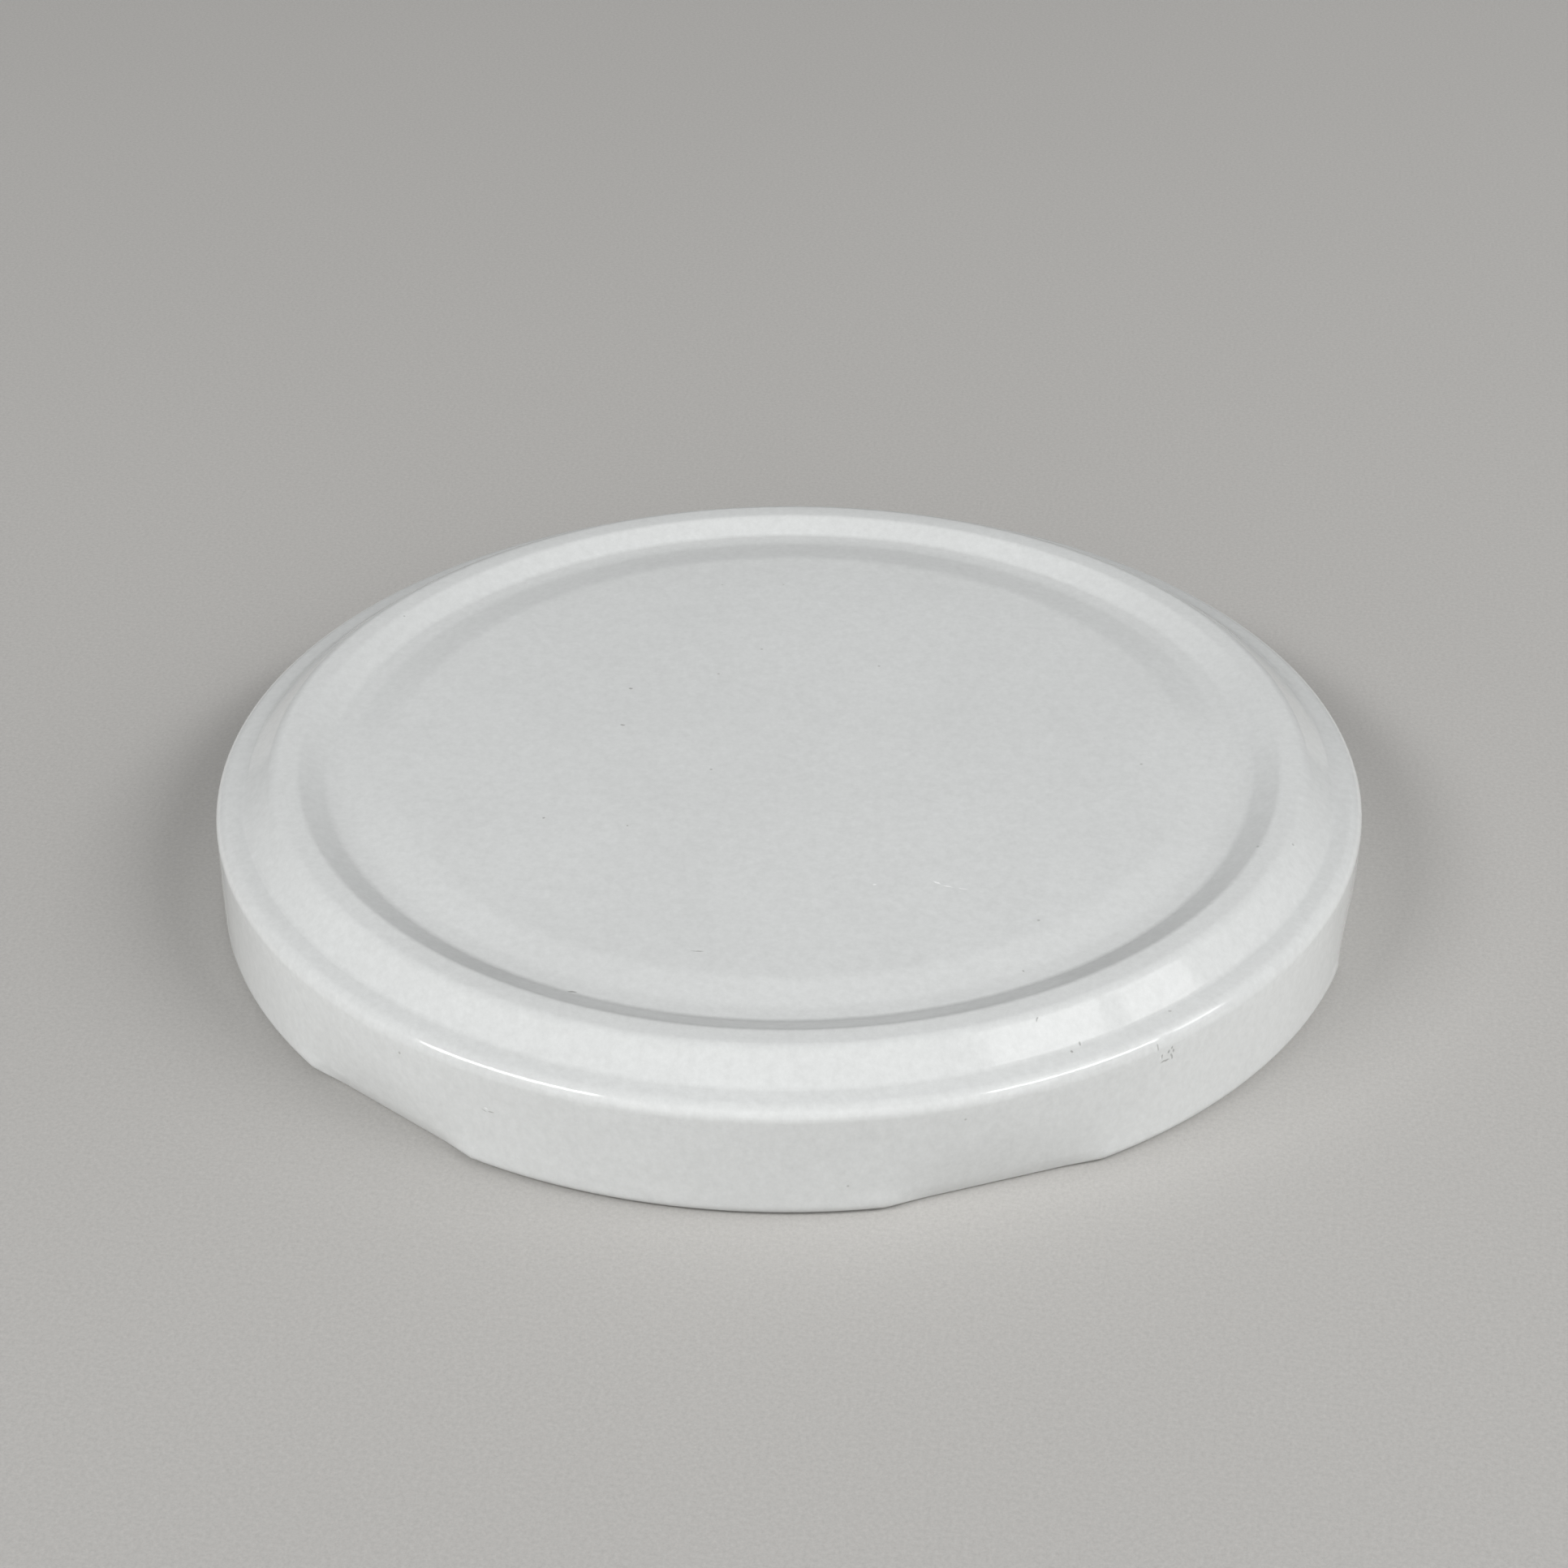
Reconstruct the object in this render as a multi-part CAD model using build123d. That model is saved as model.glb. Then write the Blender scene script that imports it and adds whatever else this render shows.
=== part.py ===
from build123d import *
import os
from math import atan2, cos, degrees, radians, sin, sqrt, tan

# Overall sizes of the lid, in millimetres and degrees
outer_diameter = 84.8
overall_height = 10.7
sheet_thickness = 0.2

# Widths of the bands of the top, from the rim inwards
shoulder_width = 2.1
outer_slope_width = 2.2
crest_width = 1.85
ring_wall_width = 2.05
groove_width = 1.5
panel_slope_width = 3.0

# How far the rim and each band lie below the crest of the raised ring
rim_drop = 2.1
shoulder_drop = 1.85
groove_drop = 0.77
panel_drop = 0.45

# Radii of the outer face at the bends of the top, from the axis outwards
panel_bend_radius = 8.0
groove_inner_bend_radius = 6.0
groove_outer_bend_radius = 1.6
crest_bend_radius = 1.3
shoulder_bend_radius = 0.8
corner_radius = 1.1

# Round roll of the bottom edge
foot_height = 1.2
roll_radius = 0.85
roll_flat = 0.05
roll_tail = 0.35

# Lugs: stretches of the foot that are pressed flat, with the skirt above them leaning inwards
lug_count = 6
lug_length = 15.7
lug_flat_length = 9.0
lug_lean_angle = 24
lug_edge_radius = 0.42
lug_fold_radius = 0.32
lug_flat = 1.7
lug_tail = 1.3

# Sealing compound, flowed into the channel under the raised ring
seal_depth = 1.0
seal_inner_overlap = 1.5
seal_inner_drop = 0.3
seal_outer_overlap = 2.1
seal_outer_drop = 0.6

# Radii and heights that follow from the sizes above
outer_radius = outer_diameter / 2
shoulder_radius = outer_radius - shoulder_width
crest_outer_radius = shoulder_radius - outer_slope_width
crest_inner_radius = crest_outer_radius - crest_width
groove_edge_radius = crest_inner_radius - ring_wall_width
groove_start_radius = groove_edge_radius - groove_width
panel_radius = groove_start_radius - panel_slope_width
rim_height = overall_height - rim_drop
shoulder_height = overall_height - shoulder_drop
groove_height = overall_height - groove_drop
panel_height = overall_height - panel_drop
lug_pitch = 360 / lug_count
lug_reach = sqrt(outer_radius**2 - (lug_length / 2) ** 2)
lug_half_angle = degrees(atan2(lug_length / 2, lug_reach))


def top_outline():
    """Outer face of the sheet in the radial plane, from the axis down to the foot."""
    corners = [
        (0, panel_height),
        (panel_radius, panel_height),
        (groove_start_radius, groove_height),
        (groove_edge_radius, groove_height),
        (crest_inner_radius, overall_height),
        (crest_outer_radius, overall_height),
        (shoulder_radius, shoulder_height),
        (outer_radius, rim_height),
        (outer_radius, foot_height),
    ]
    bends = [
        panel_bend_radius,
        groove_inner_bend_radius,
        groove_outer_bend_radius,
        crest_bend_radius,
        crest_bend_radius,
        shoulder_bend_radius,
        corner_radius,
    ]
    return FilletPolyline(*corners, radius=bends)


def lug_wedge(inset):
    """What the lug presses away outside a leaning plane, for the face at this depth in the sheet."""
    slope = tan(radians(lug_lean_angle))
    reach = lug_reach - inset * cos(radians(lug_half_angle))
    low = foot_height - roll_radius
    far = outer_radius + roll_radius
    corners = [
        (reach + (low - foot_height) * slope, low),
        (far, low),
        (far, foot_height + (far - reach) / slope),
    ]
    return extrude(Plane.XZ * make_face(Polyline(*corners, close=True)), lug_length, both=True)


def bowl(inset):
    """The full round form bounded by the face at this depth in the sheet, with the lugs pressed in."""
    face_line = top_outline()
    if inset:
        face_line = offset(face_line, amount=inset, side=Side.RIGHT, closed=False)
    floor_line = Line(face_line @ 1, (0, foot_height))
    axis_line = Line((0, foot_height), face_line @ 0)
    form = revolve(Plane.XZ * make_face([*face_line.edges(), floor_line, axis_line]), Axis.Z)
    wedges = [Rot(0, 0, index * lug_pitch) * lug_wedge(inset) for index in range(lug_count)]
    return form - wedges


def foot_section(reach, joint_width, lean, edge_radius, flat, fold_radius, tail):
    """Section of the foot in the XZ plane: leaning wall, bottom edge, flat, fold and tail.

    The wall starts at the joint with the skirt, at this reach and as wide as the skirt's own edge there.
    """
    slope = tan(radians(lean))
    edge_centre = reach - (foot_height - edge_radius) * slope - edge_radius / cos(radians(lean))
    fold_centre = edge_centre - flat

    def sheet_face(inset, joint):
        """The face that lies at this depth in the sheet, from its joint with the skirt down and round."""
        edge = edge_radius - inset
        fold = fold_radius - inset
        wall_foot = (edge_centre + edge * cos(radians(lean)), edge_radius - edge * sin(radians(lean)))
        tail_height = 2 * fold_radius - inset
        return [
            Line((joint, foot_height), wall_foot),
            CenterArc((edge_centre, edge_radius), edge, -lean, lean - 90),
            Line((edge_centre, inset), (fold_centre, inset)),
            CenterArc((fold_centre, fold_radius), fold, -90, -180),
            Line((fold_centre, tail_height), (fold_centre + tail, tail_height)),
        ]

    outer = sheet_face(0, reach)
    inner = sheet_face(sheet_thickness, reach - joint_width)
    skirt_joint = Line(outer[0] @ 0, inner[0] @ 0)
    cut_edge = Line(outer[-1] @ 1, inner[-1] @ 1)
    return Plane.XZ * make_face([*outer, *inner, skirt_joint, cut_edge])


def roll_section():
    """Section of the round roll between the lugs."""
    return foot_section(outer_radius, sheet_thickness, 0, roll_radius, roll_flat, roll_radius, roll_tail)


def lug_section():
    """Section through the pressed flat of a lug."""
    joint_width = sheet_thickness * cos(radians(lug_half_angle))
    return foot_section(
        lug_reach, joint_width, lug_lean_angle, lug_edge_radius, lug_flat, lug_fold_radius, lug_tail
    )


def rolled_foot():
    """The stretch of round roll from one lug to the next."""
    sweep = lug_pitch - 2 * lug_half_angle
    return Rot(0, 0, lug_half_angle) * revolve(roll_section(), Axis.Z, sweep)


def lug():
    """One lug on the X axis: a flat run along its chord, with the roll flattening towards it at both ends."""
    flat_run = extrude(lug_section(), lug_flat_length / 2, both=True)
    pieces = [flat_run]
    for side in (-1, 1):
        roll_end = Rot(0, 0, side * lug_half_angle) * roll_section()
        flat_end = Pos(0, side * lug_flat_length / 2, 0) * lug_section()
        pieces.append(Solid.make_loft([roll_end.wire(), flat_end.wire()], ruled=True))
    return pieces


def lid_shell():
    """The whole lid, drawn from one sheet: the bowl, and the foot that is rolled round its edge."""
    skirt = (bowl(0) - bowl(sheet_thickness)).solid()
    stretches = []
    for index in range(lug_count):
        turn = Rot(0, 0, index * lug_pitch)
        stretches += [(turn * piece).solid() for piece in [rolled_foot(), *lug()]]
    return skirt.fuse(*stretches, glue=True)


def sealing_ring():
    """The ring of soft compound that lines the channel, thinner at its edges than under the crest."""
    inner_edge = crest_inner_radius - seal_inner_overlap
    outer_edge = crest_outer_radius + seal_outer_overlap
    middle = (crest_inner_radius + crest_outer_radius) / 2
    underside = overall_height - sheet_thickness
    seat = ThreePointArc(
        (inner_edge, groove_height - seal_inner_drop),
        (middle, underside - seal_depth),
        (outer_edge, shoulder_height - seal_outer_drop),
    )
    blank = make_face(
        [
            seat,
            Line(seat @ 1, (outer_edge, overall_height)),
            Line((outer_edge, overall_height), (inner_edge, overall_height)),
            Line((inner_edge, overall_height), seat @ 0),
        ]
    )
    return (revolve(Plane.XZ * blank, Axis.Z) & bowl(sheet_thickness)).solid()


os.makedirs("parts", exist_ok=True)
export_step(lid_shell(), "parts/lid_shell.step")
export_step(sealing_ring(), "parts/sealing_ring.step")
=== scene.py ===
"""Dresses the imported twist-off lid: the lacquered shell, its sealing ring, and a plain stage."""

from math import atan2, cos, hypot, pi, radians, sin, sqrt, tan

import bmesh
import bpy
from bpy.props import FloatProperty, FloatVectorProperty, IntProperty, PointerProperty
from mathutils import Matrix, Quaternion, Vector


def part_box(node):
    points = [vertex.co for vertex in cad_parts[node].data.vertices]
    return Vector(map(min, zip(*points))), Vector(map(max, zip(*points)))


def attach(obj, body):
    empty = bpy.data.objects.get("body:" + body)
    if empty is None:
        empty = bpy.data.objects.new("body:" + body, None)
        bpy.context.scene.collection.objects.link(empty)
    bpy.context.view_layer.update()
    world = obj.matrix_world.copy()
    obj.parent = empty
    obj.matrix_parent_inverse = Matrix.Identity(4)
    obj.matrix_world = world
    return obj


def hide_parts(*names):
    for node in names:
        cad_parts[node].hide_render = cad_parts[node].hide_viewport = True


bl_info = {
    "name": "Twist-Off Lid",
    "version": (1, 0, 0),
    "blender": (4, 5, 0),
    "location": "3D View > Sidebar > Lid",
    "description": "Models a lacquered twist-off lid in place of its packed solids",
    "category": "Object",
}

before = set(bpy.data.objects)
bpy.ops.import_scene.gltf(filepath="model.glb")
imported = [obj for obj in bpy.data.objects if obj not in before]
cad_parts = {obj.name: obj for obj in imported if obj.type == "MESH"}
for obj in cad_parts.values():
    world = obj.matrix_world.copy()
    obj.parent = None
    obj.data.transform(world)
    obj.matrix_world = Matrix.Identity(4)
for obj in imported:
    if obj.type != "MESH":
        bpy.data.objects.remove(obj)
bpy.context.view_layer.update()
shell_low, shell_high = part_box("lid_shell")

# Vertices this close are one, and places or angles this close are the same, in metres and radians
MERGE_DISTANCE = 1e-6
PLACE_TOLERANCE = 2e-6
ANGLE_TOLERANCE = 0.001

# Edges that turn by more than this stay sharp
SMOOTH_ANGLE = radians(50)

# Steps in the mesh of the sheet: round the outer edge of the foot and round its fold, along half a lug
# and half the plain stretch beside it, and up the skirt as far as the press marks reach
EDGE_STEPS = 8
FOLD_STEPS = 12
LUG_COLUMNS = 24
PLAIN_COLUMNS = 11
PRESSED_ROWS = 14

# Steps round the sealing ring, and across its underside
RING_COLUMNS = 180
SEAT_STEPS = 16

# How far beside a lug, and how deep inside the round of the skirt, its creases are looked for
CREASE_MARGIN = radians(2.5)
CREASE_DEPTH = 0.0012

# Numbers of the Mix node's sockets when it mixes colours
MIX_SHARE, MIX_FIRST, MIX_SECOND, MIX_RESULT = 0, 6, 7, 2

# A mark on the enamel is full up to this share of its half lengths, and fades out from there
MARK_CORE = 0.55

# Size of the floor, and how far it lies under the foot, so that the two don't share a plane
FLOOR_SIZE = 4.0
FLOOR_DROP = 0.00001

SKY_COLOUR = (0.97, 0.98, 1.0, 1.0)
SKY_STRENGTH = 0.02

SENSOR_WIDTH = 36.0
NEAREST_VIEW = 0.01

# Marks on the enamel: place, half lengths along its own axes and turn about Z, in metres and degrees.
# The first list is dark dirt, and dents drawn as painted shade; the second is pale scratches. The two hold
# 28 marks, and the render's shader has room for about thirty.
DIRT_AND_DENT_SHADE_MARKS = (
    ((0.03051, -0.02944, 0.00810), (0.00009, 0.00030, 0.00048), 46),
    ((0.03091, -0.02902, 0.00660), (0.00044, 0.00030, 0.00010), 47),
    ((0.03132, -0.02858, 0.00675), (0.00010, 0.00030, 0.00024), 48),
    ((0.03143, -0.02846, 0.00711), (0.00010, 0.00030, 0.00024), 48),
    ((0.03114, -0.02878, 0.00730), (0.00013, 0.00030, 0.00018), 47),
    ((0.03135, -0.02855, 0.00752), (0.00012, 0.00030, 0.00020), 48),
    ((0.03075, -0.02919, 0.00709), (0.00010, 0.00030, 0.00022), 46),
    ((0.02539, -0.03117, 0.00893), (0.00010, 0.00026, 0.00020), 30),
    ((0.02502, -0.03208, 0.00880), (0.00014, 0.00012, 0.00020), 0),
    ((0.02091, -0.02509, 0.00993), (0.00011, 0.00011, 0.00020), 0),
    ((0.02257, -0.03111, 0.01041), (0.00007, 0.00024, 0.00020), 5),
    ((0.03087, -0.02639, 0.00881), (0.00018, 0.00008, 0.00020), 20),
    ((-0.01285, -0.04041, 0.00499), (0.00034, 0.00008, 0.00007), -17),
    ((-0.01222, -0.04060, 0.00503), (0.00030, 0.00008, 0.00008), -16),
    ((-0.01716, -0.03877, 0.00237), (0.00008, 0.00012, 0.00034), -24),
    ((-0.00846, -0.03303, 0.00993), (0.00040, 0.00012, 0.00020), -8),
    ((-0.01548, -0.01295, 0.01025), (0.00016, 0.00015, 0.00020), 0),
    ((-0.00927, -0.01279, 0.01025), (0.00011, 0.00011, 0.00020), 0),
    ((-0.01286, 0.00079, 0.01025), (0.00022, 0.00016, 0.00020), 0),
    ((-0.01345, 0.00614, 0.01025), (0.00018, 0.00014, 0.00020), 0),
    ((-0.00113, -0.02732, 0.01025), (0.00050, 0.00006, 0.00020), 4),
    ((0.02512, -0.03416, 0.00195), (0.00014, 0.00010, 0.00016), 0),
)
PALE_MARKS = (
    ((0.01361, -0.01606, 0.01025), (0.00045, 0.00007, 0.00020), -12),
    ((0.01440, -0.01634, 0.01025), (0.00050, 0.00008, 0.00020), -16),
    ((0.01554, -0.01650, 0.01025), (0.00040, 0.00006, 0.00020), 2),
    ((0.00938, -0.01710, 0.01025), (0.00014, 0.00012, 0.00020), 0),
    ((-0.01252, -0.04048, 0.00522), (0.00022, 0.00009, 0.00007), -17),
    ((0.03068, -0.02928, 0.00700), (0.00007, 0.00030, 0.00014), 46),
)


def length(name, description, default):
    """A size in metres, shown in the scene's units."""
    return FloatProperty(name=name, description=description, default=default, unit="LENGTH", precision=5)


def turn(name, description, default):
    """An angle, given in degrees and kept in radians."""
    return FloatProperty(name=name, description=description, default=radians(default), unit="ROTATION")


def tint(name, description, default):
    """A linear colour."""
    return FloatVectorProperty(
        name=name, description=description, default=default, subtype="COLOR", min=0.0, max=1.0
    )


def amount(name, description, default):
    """A plain number from nought to one."""
    return FloatProperty(
        name=name, description=description, default=default, subtype="FACTOR", min=0.0, max=1.0
    )


def place(name, description, default):
    """A point in metres."""
    return FloatVectorProperty(
        name=name,
        description=description,
        default=default,
        subtype="TRANSLATION",
        unit="LENGTH",
        precision=5,
    )


class LidTopSizes(bpy.types.PropertyGroup):
    """The drawn top of the lid, from the rim inwards"""

    diameter: length("Diameter", "Across the skirt", shell_high.x - shell_low.x)
    height: length("Height", "From the foot to the crest of the raised ring", shell_high.z - shell_low.z)
    sheet: length("Sheet", "Thickness of the lacquered steel", 0.0002)
    shoulder_width: length("Shoulder width", "From the skirt to the foot of the outer slope", 0.0021)
    outer_slope_width: length("Outer slope width", "Slope outside the crest", 0.0022)
    crest_width: length("Crest width", "Flat crest of the raised ring", 0.00185)
    ring_wall_width: length("Ring wall width", "Slope from the crest down to the groove", 0.00205)
    groove_width: length("Groove width", "Flat bottom of the groove", 0.0015)
    panel_slope_width: length("Panel slope width", "Slope from the groove up to the panel", 0.003)
    rim_drop: length("Rim drop", "Depth of the rim's corner below the crest", 0.0021)
    shoulder_drop: length("Shoulder drop", "Depth of the shoulder below the crest", 0.00185)
    groove_drop: length("Groove drop", "Depth of the groove below the crest", 0.00077)
    panel_drop: length("Panel drop", "Depth of the panel below the crest", 0.00045)
    panel_bend: length("Panel bend", "Radius at the edge of the panel", 0.008)
    groove_inner_bend: length("Groove inner bend", "Radius at the groove's inner side", 0.006)
    groove_outer_bend: length("Groove outer bend", "Radius at the groove's outer side", 0.0016)
    crest_bend: length("Crest bend", "Radius at both sides of the crest", 0.0013)
    shoulder_bend: length("Shoulder bend", "Radius between slope and shoulder", 0.0008)
    corner_bend: length("Corner bend", "Radius between shoulder and skirt", 0.0011)


class LidFootSizes(bpy.types.PropertyGroup):
    """The rolled foot and its pressed lugs"""

    foot_height: length("Foot height", "Where the skirt ends and the foot begins", 0.0012)
    roll_radius: length("Roll radius", "Radius of the round roll", 0.00085)
    roll_flat: length("Roll flat", "Straight run under the round roll", 0.00005)
    roll_tail: length("Roll tail", "Straight run at the end of the sheet in the roll", 0.00035)
    lugs: IntProperty(name="Lugs", description="How many lugs there are", default=6, min=1)
    lug_length: length("Lug length", "Chord of the pressed stretch", 0.0157)
    lug_flat_length: length("Lug flat length", "Part of the lug that is pressed right down", 0.009)
    lug_lean: turn("Lug lean", "How far the skirt leans in over a lug", 24)
    lug_edge: length("Lug edge", "Radius at the outer edge of a lug", 0.00042)
    lug_fold: length("Lug fold", "Radius at the tip of a lug", 0.00032)
    lug_flat: length("Lug flat", "Width of the flat underside of a lug", 0.0017)
    lug_tail: length("Lug tail", "Folded back end of the sheet in a lug", 0.0013)
    fading_height: length("Fading height", "How high above the foot the press marks fade out", 0.0050)
    crease_passes: IntProperty(
        name="Crease passes",
        description="How often the creases over the lugs are smoothed",
        default=12,
        min=0,
    )


class LidSealSizes(bpy.types.PropertyGroup):
    """The compound that lines the channel under the raised ring"""

    depth: length("Depth", "Thickness under the crest", 0.001)
    inner_overlap: length("Inner overlap", "How far it reaches inside the crest", 0.0015)
    inner_drop: length("Inner drop", "Depth of its inner edge below the groove", 0.0003)
    outer_overlap: length("Outer overlap", "How far it reaches outside the crest", 0.0021)
    outer_drop: length("Outer drop", "Depth of its outer edge below the shoulder", 0.0006)
    edge_round: length("Edge round", "Rounding of its two edges", 0.00012)


class LidFinish(bpy.types.PropertyGroup):
    """Colours and gloss of the lid"""

    lacquer: tint("Lacquer", "White enamel outside", (0.678, 0.691, 0.686))
    lacquer_shade: tint("Lacquer shade", "Slightly darker patches in the enamel", (0.653, 0.665, 0.660))
    lacquer_roughness: amount("Lacquer roughness", "Roughness under the clear top of the enamel", 0.38)
    coat_roughness: amount("Coat roughness", "Roughness of the glossy top of the enamel", 0.08)
    grain: tint("Grain", "Darker grain in the enamel", (0.42, 0.427, 0.424))
    # This colour also paints the shade in the dents among the dark marks
    dust: tint("Dust", "Specks and dirt that lie on the enamel", (0.20, 0.20, 0.19))
    scratch: tint("Scratch", "Pale scratches in the enamel", (0.9, 0.91, 0.91))
    inside: tint("Inside lacquer", "Food-safe lacquer on the inside", (0.64, 0.645, 0.62))
    cut_steel: tint("Cut steel", "Bare cut edge of the sheet", (0.52, 0.52, 0.53))
    compound: tint("Compound", "Soft sealing compound", (0.62, 0.60, 0.54))


class LidStage(bpy.types.PropertyGroup):
    """Floor and camera"""

    floor: tint("Floor", "Plain pale floor", (0.595, 0.583, 0.562))
    camera_place: place("Camera place", "Where the camera stands", (0.04074, -0.21158, 0.14153))
    camera_aim: place("Camera aim", "The point at the middle of the picture", (-0.00247, 0.01086, 0.0))
    camera_roll: turn("Camera roll", "Turn of the camera about its own axis", -0.26)
    lens: FloatProperty(name="Lens", description="Focal length in millimetres", default=77.9, min=1.0)


def clear_selection():
    """Leaves edit mode and deselects every object."""
    if bpy.context.object and bpy.context.object.mode != "OBJECT":
        bpy.ops.object.mode_set(mode="OBJECT")
    bpy.ops.object.select_all(action="DESELECT")


def pick_points(model, numbers):
    """Selects these vertices of the mesh in edit mode, and nothing else."""
    bpy.ops.mesh.select_mode(type="VERT")
    bpy.ops.mesh.select_all(action="DESELECT")
    mesh = bmesh.from_edit_mesh(model.data)
    mesh.verts.ensure_lookup_table()
    for number in numbers:
        mesh.verts[number].select_set(True)
    mesh.select_flush_mode()
    bmesh.update_edit_mesh(model.data)


def pick_where(model, test):
    """Selects the vertices whose place passes the test, and nothing else."""
    mesh = bmesh.from_edit_mesh(model.data)
    pick_points(model, [point.index for point in mesh.verts if test(point.co)])


def use_modifier(model, name, kind, **settings):
    """Adds a modifier with these settings and applies it."""
    bpy.context.view_layer.objects.active = model
    bpy.ops.object.modifier_add(type=kind)
    modifier = model.modifiers[-1]
    modifier.name = name
    for key, value in settings.items():
        setattr(modifier, key, value)
    bpy.ops.object.modifier_apply(modifier=modifier.name)


def start_line(name, start):
    """A new mesh of one vertex at this radius and height, in edit mode."""
    clear_selection()
    bpy.ops.mesh.primitive_plane_add(size=0.001, location=(start[0], 0, start[1]))
    model = bpy.context.object
    model.name = model.data.name = name
    bpy.ops.object.transform_apply(location=True, rotation=True, scale=True)
    bpy.ops.object.mode_set(mode="EDIT")
    bpy.ops.mesh.select_mode(type="VERT")
    bpy.ops.mesh.merge(type="CENTER")
    return model


def run_to(here, there, steps=1):
    """Extrudes the end of the line to a new place in equal steps."""
    move = (Vector(there) - Vector(here)) / steps
    for _ in range(steps):
        bpy.ops.mesh.extrude_region_move(TRANSFORM_OT_translate={"value": (move.x, 0, move.y)})
    return Vector(there)


def bend_round(here, centre, angle, steps):
    """Spins the end of the line about a centre; a positive angle turns it from outwards to upwards."""
    bpy.ops.mesh.spin(steps=steps, angle=angle, center=(centre[0], 0, centre[1]), axis=(0, 1, 0))
    arm = Vector(here) - Vector(centre)
    return Vector(centre) + Vector(
        (arm.x * cos(angle) - arm.y * sin(angle), arm.x * sin(angle) + arm.y * cos(angle))
    )


def spin_round_lid(steps, angle, copies=False):
    """Spins what is selected about the lid's axis, or copies it round."""
    bpy.ops.mesh.spin(steps=steps, dupli=copies, angle=angle, center=(0, 0, 0), axis=(0, 0, 1))


def angle_between(first, second):
    """The angle from one direction to another, positive from outwards to upwards."""
    return atan2(first.x * second.y - first.y * second.x, first.dot(second))


def bend_at(before, corner, after, radius):
    """Where a rounded corner starts, the centre of its bend, and the angle through which it turns."""
    inward = (Vector(corner) - Vector(before)).normalized()
    outward = (Vector(after) - Vector(corner)).normalized()
    angle = angle_between(inward, outward)
    start = Vector(corner) - inward * radius * tan(abs(angle) / 2)
    side = radius if angle > 0 else -radius
    centre = start + Vector((-inward.y, inward.x)) * side
    return start, centre, angle


def draw_profile(here, corners, bends):
    """Draws a line past these corners.

    Each inner corner has a bend: its radius, the steps round it, and the steps of the straight run
    before it.
    """
    for number, (radius, bend_steps, run_steps) in enumerate(bends, start=1):
        start, centre, angle = bend_at(*corners[number - 1 : number + 2], radius)
        if run_steps:
            here = run_to(here, start, run_steps)
        here = bend_round(here, centre, angle, bend_steps)
    return here


def circle_centre(first, second, third):
    """The centre of the circle through three points."""
    ax, ay = second - first
    bx, by = third - first
    cross = 2 * (ax * by - ay * bx)
    a_square, b_square = ax * ax + ay * ay, bx * bx + by * by
    return first + Vector(((by * a_square - ay * b_square) / cross, (ax * b_square - bx * a_square) / cross))


def inset_corners(corners, depth):
    """The inner corners of the line that lies this deep in the sheet."""
    moved = []
    for number in range(1, len(corners) - 1):
        before, corner, after = (Vector(point) for point in corners[number - 1 : number + 2])
        first = (corner - before).normalized()
        second = (after - corner).normalized()
        first_side = Vector((first.y, -first.x))
        second_side = Vector((second.y, -second.x))
        moved.append(corner + (first_side + second_side) * depth / (1 + first_side.dot(second_side)))
    return moved


def top_corners(top):
    """Corners of the sheet's outer face as (radius, height), from the axis to the skirt."""
    rim = top.diameter / 2
    shoulder = rim - top.shoulder_width
    crest_outer = shoulder - top.outer_slope_width
    crest_inner = crest_outer - top.crest_width
    groove_edge = crest_inner - top.ring_wall_width
    groove_start = groove_edge - top.groove_width
    panel = groove_start - top.panel_slope_width
    return [
        (0.0, top.height - top.panel_drop),
        (panel, top.height - top.panel_drop),
        (groove_start, top.height - top.groove_drop),
        (groove_edge, top.height - top.groove_drop),
        (crest_inner, top.height),
        (crest_outer, top.height),
        (shoulder, top.height - top.shoulder_drop),
        (rim, top.height - top.rim_drop),
        (rim, 0.0),
    ]


def panel_edge(top):
    """Where the flat of the centre panel ends, as (radius, height)."""
    return bend_at(*top_corners(top)[0:3], top.panel_bend)[0]


def lug_reach(top, foot):
    """Distance of a lug's chord from the axis."""
    return sqrt((top.diameter / 2) ** 2 - (foot.lug_length / 2) ** 2)


def lug_half_angle(top, foot):
    """The angle from the middle of a lug to its end, seen from the axis."""
    return atan2(foot.lug_length / 2, lug_reach(top, foot))


def foot_points(reach, joint_height, lean, edge, flat, fold, tail):
    """Points of the foot's outer face from its joint with the skirt to the cut edge of the sheet."""
    edge_centre = reach - (joint_height - edge) * tan(lean) - edge / cos(lean)
    fold_centre = edge_centre - flat
    points = [(reach, joint_height)]
    for step in range(EDGE_STEPS + 1):
        angle = -lean + (lean - pi / 2) * step / EDGE_STEPS
        points.append((edge_centre + edge * cos(angle), edge + edge * sin(angle)))
    points.append((edge_centre - flat / 2, 0.0))
    for step in range(FOLD_STEPS + 1):
        angle = -pi / 2 - pi * step / FOLD_STEPS
        points.append((fold_centre + fold * cos(angle), fold + fold * sin(angle)))
    points.append((fold_centre + tail, 2 * fold))
    return points


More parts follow.
